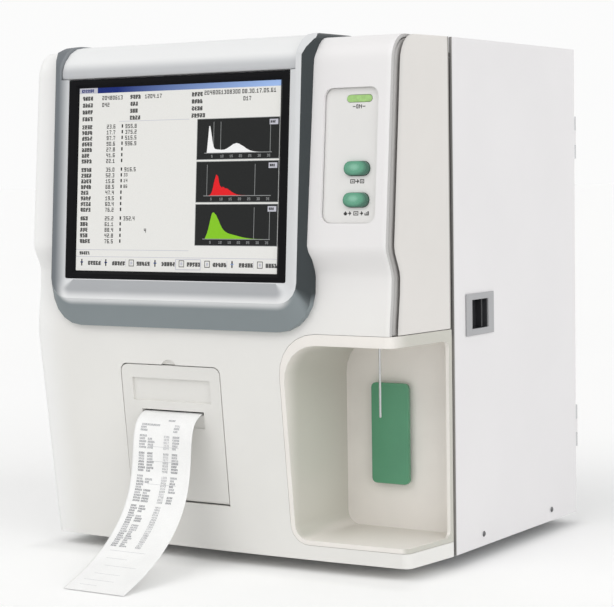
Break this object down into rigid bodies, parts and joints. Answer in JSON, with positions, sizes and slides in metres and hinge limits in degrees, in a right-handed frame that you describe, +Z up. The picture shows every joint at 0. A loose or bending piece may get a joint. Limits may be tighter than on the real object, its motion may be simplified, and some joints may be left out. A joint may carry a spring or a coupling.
{
  "type": "hematology analyzer",
  "caption": "Bench-top blood cell analyzer with a framed tilted screen, an open sample bay with a probe and key, a built-in strip printer and a hinged side door.",
  "frame": {"origin": "on the bench, under the middle of the whole outline with the printed strip and the latch frame counted", "axes": "+X towards the side door (the right side seen from the front), +Y towards the rear panel, +Z up"},
  "size_m": [0.3522, 0.4376, 0.413],
  "materials": {
    "fascia_white": "satin moulded white",
    "cabinet_white": "fine textured white powder coat",
    "bezel_grey": "satin blue-grey",
    "cap_grey": "satin light grey",
    "dark_plastic": "matte black moulding",
    "latch_grey": "satin mid grey",
    "key_green": "satin translucent green",
    "lamp_green": "frosted green diffuser",
    "screen_glass": "anti-glare display face",
    "steel": "fine ground stainless steel",
    "zinc_sheet": "zinc-plated sheet",
    "rubber": "matte black rubber",
    "paper": "smooth thermal paper",
    "circuit_board": "green solder resist",
    "clear_plastic": "clear acrylic"
  },
  "bodies": {
    "cabinet": {"foot_front_left": "rubber", "foot_front_right": "rubber", "foot_rear_left": "rubber", "foot_rear_right": "rubber", "base_tray": "zinc_sheet", "top_cover": "cabinet_white", "rear_panel": "cabinet_white", "front_frame": "zinc_sheet", "front_fascia": "fascia_white", "side_cheek": "fascia_white", "bay_insert": "fascia_white", "aspirate_switch": "dark_plastic", "screen_bezel": "bezel_grey", "bezel_cap": "cap_grey", "lcd_panel": "screen_glass", "screen_bracket": "zinc_sheet", "control_plate": "fascia_white", "key_board": "circuit_board", "lamp_lens": "lamp_green", "printer_frame": "dark_plastic", "roll_spindle": "dark_plastic", "thermal_head": "zinc_sheet", "paper_strip": "paper", "wash_block": "clear_plastic", "probe_guide": "zinc_sheet", "probe_motor": "dark_plastic", "partition": "zinc_sheet", "bath_shelf": "zinc_sheet", "wbc_bath": "clear_plastic", "rbc_bath": "clear_plastic", "valve_bank": "clear_plastic", "syringe_barrel": "clear_plastic", "vacuum_pump": "dark_plastic", "power_supply": "zinc_sheet", "main_board": "circuit_board", "fan_housing": "dark_plastic", "power_inlet": "dark_plastic", "fluid_port_plate": "zinc_sheet", "data_port_block": "dark_plastic", "hinge_lower": "zinc_sheet", "hinge_upper": "zinc_sheet"},
    "side_door": {"side_door": "cabinet_white", "door_rail": "zinc_sheet", "door_screw_front": "steel", "door_screw_rear": "steel", "latch_frame": "latch_grey"},
    "door_latch": {"door_latch": "dark_plastic"},
    "aspirate_key": {"aspirate_key": "key_green"},
    "print_button": {"print_button": "key_green"},
    "run_button": {"run_button": "key_green"},
    "printer_door": {"printer_door": "fascia_white"},
    "platen": {"platen_roller": "rubber", "platen_gear": "dark_plastic"},
    "paper_roll": {"paper_roll": "paper"},
    "probe": {"probe_carriage": "dark_plastic", "sample_probe": "steel"},
    "lead_screw": {"lead_screw": "steel"},
    "syringe_plunger": {"syringe_plunger": "steel"},
    "fan_rotor": {"fan_rotor": "dark_plastic"},
    "power_rocker": {"power_rocker": "rubber"}
  },
  "joints": [
    {"name": "side_door_hinge", "type": "hinge", "parent": "cabinet", "child": "side_door", "pos_m": [0.1723, 0.21018, 0.1], "axis": [0, 0, 1], "range_deg": [0, 100]},
    {"name": "door_latch_slide", "type": "slide", "parent": "side_door", "child": "door_latch", "axis": [0, 1, 0], "range_m": [0, 0.006], "stiffness_N_per_m": 150, "springref_m": -0.002},
    {"name": "aspirate_key_press", "type": "slide", "parent": "cabinet", "child": "aspirate_key", "axis": [0, 1, 0], "range_m": [0, 0.0025], "stiffness_N_per_m": 400, "springref_m": -0.001},
    {"name": "print_button_press", "type": "slide", "parent": "cabinet", "child": "print_button", "axis": [0, 0.9963, -0.0855], "range_m": [0, 0.0015], "stiffness_N_per_m": 300, "springref_m": -0.001},
    {"name": "run_button_press", "type": "slide", "parent": "cabinet", "child": "run_button", "axis": [0, 0.9963, -0.0855], "range_m": [0, 0.0015], "stiffness_N_per_m": 300, "springref_m": -0.001},
    {"name": "printer_door_hinge", "type": "hinge", "parent": "cabinet", "child": "printer_door", "pos_m": [-0.0351, -0.08366, 0.05], "axis": [1, 0, 0], "range_deg": [0, 75], "deforming": ["paper_strip"]},
    {"name": "paper_roll_spin", "type": "hinge", "parent": "cabinet", "child": "paper_roll", "pos_m": [-0.0351, -0.06033, 0.09], "axis": [1, 0, 0], "continuous": true},
    {"name": "platen_spin", "type": "hinge", "parent": "printer_door", "child": "platen", "pos_m": [-0.0351, -0.08272, 0.11525], "axis": [1, 0, 0], "continuous": true},
    {"name": "probe_slide", "type": "slide", "parent": "cabinet", "child": "probe", "axis": [0, 0, 1], "range_m": [0, 0.055]},
    {"name": "lead_screw_turn", "type": "hinge", "parent": "cabinet", "child": "lead_screw", "pos_m": [0.136, -0.03922, 0.2], "axis": [0, 0, 1], "range_deg": [-1981, 0]},
    {"name": "syringe_stroke", "type": "slide", "parent": "cabinet", "child": "syringe_plunger", "axis": [0, 0, -1], "range_m": [0, 0.03]},
    {"name": "fan_spin", "type": "hinge", "parent": "cabinet", "child": "fan_rotor", "pos_m": [-0.0745, 0.1973, 0.328], "axis": [0, 1, 0], "continuous": true},
    {"name": "power_rocker_tip", "type": "hinge", "parent": "cabinet", "child": "power_rocker", "pos_m": [-0.1245, 0.20598, 0.108], "axis": [1, 0, 0], "range_deg": [0, 12]}
  ],
  "couplings": [
    {"joint": "platen_spin", "follows": "paper_roll_spin", "ratio": 4.7778},
    {"joint": "lead_screw_turn", "follows": "probe_slide", "rad_per_m": -628.32}
  ]
}
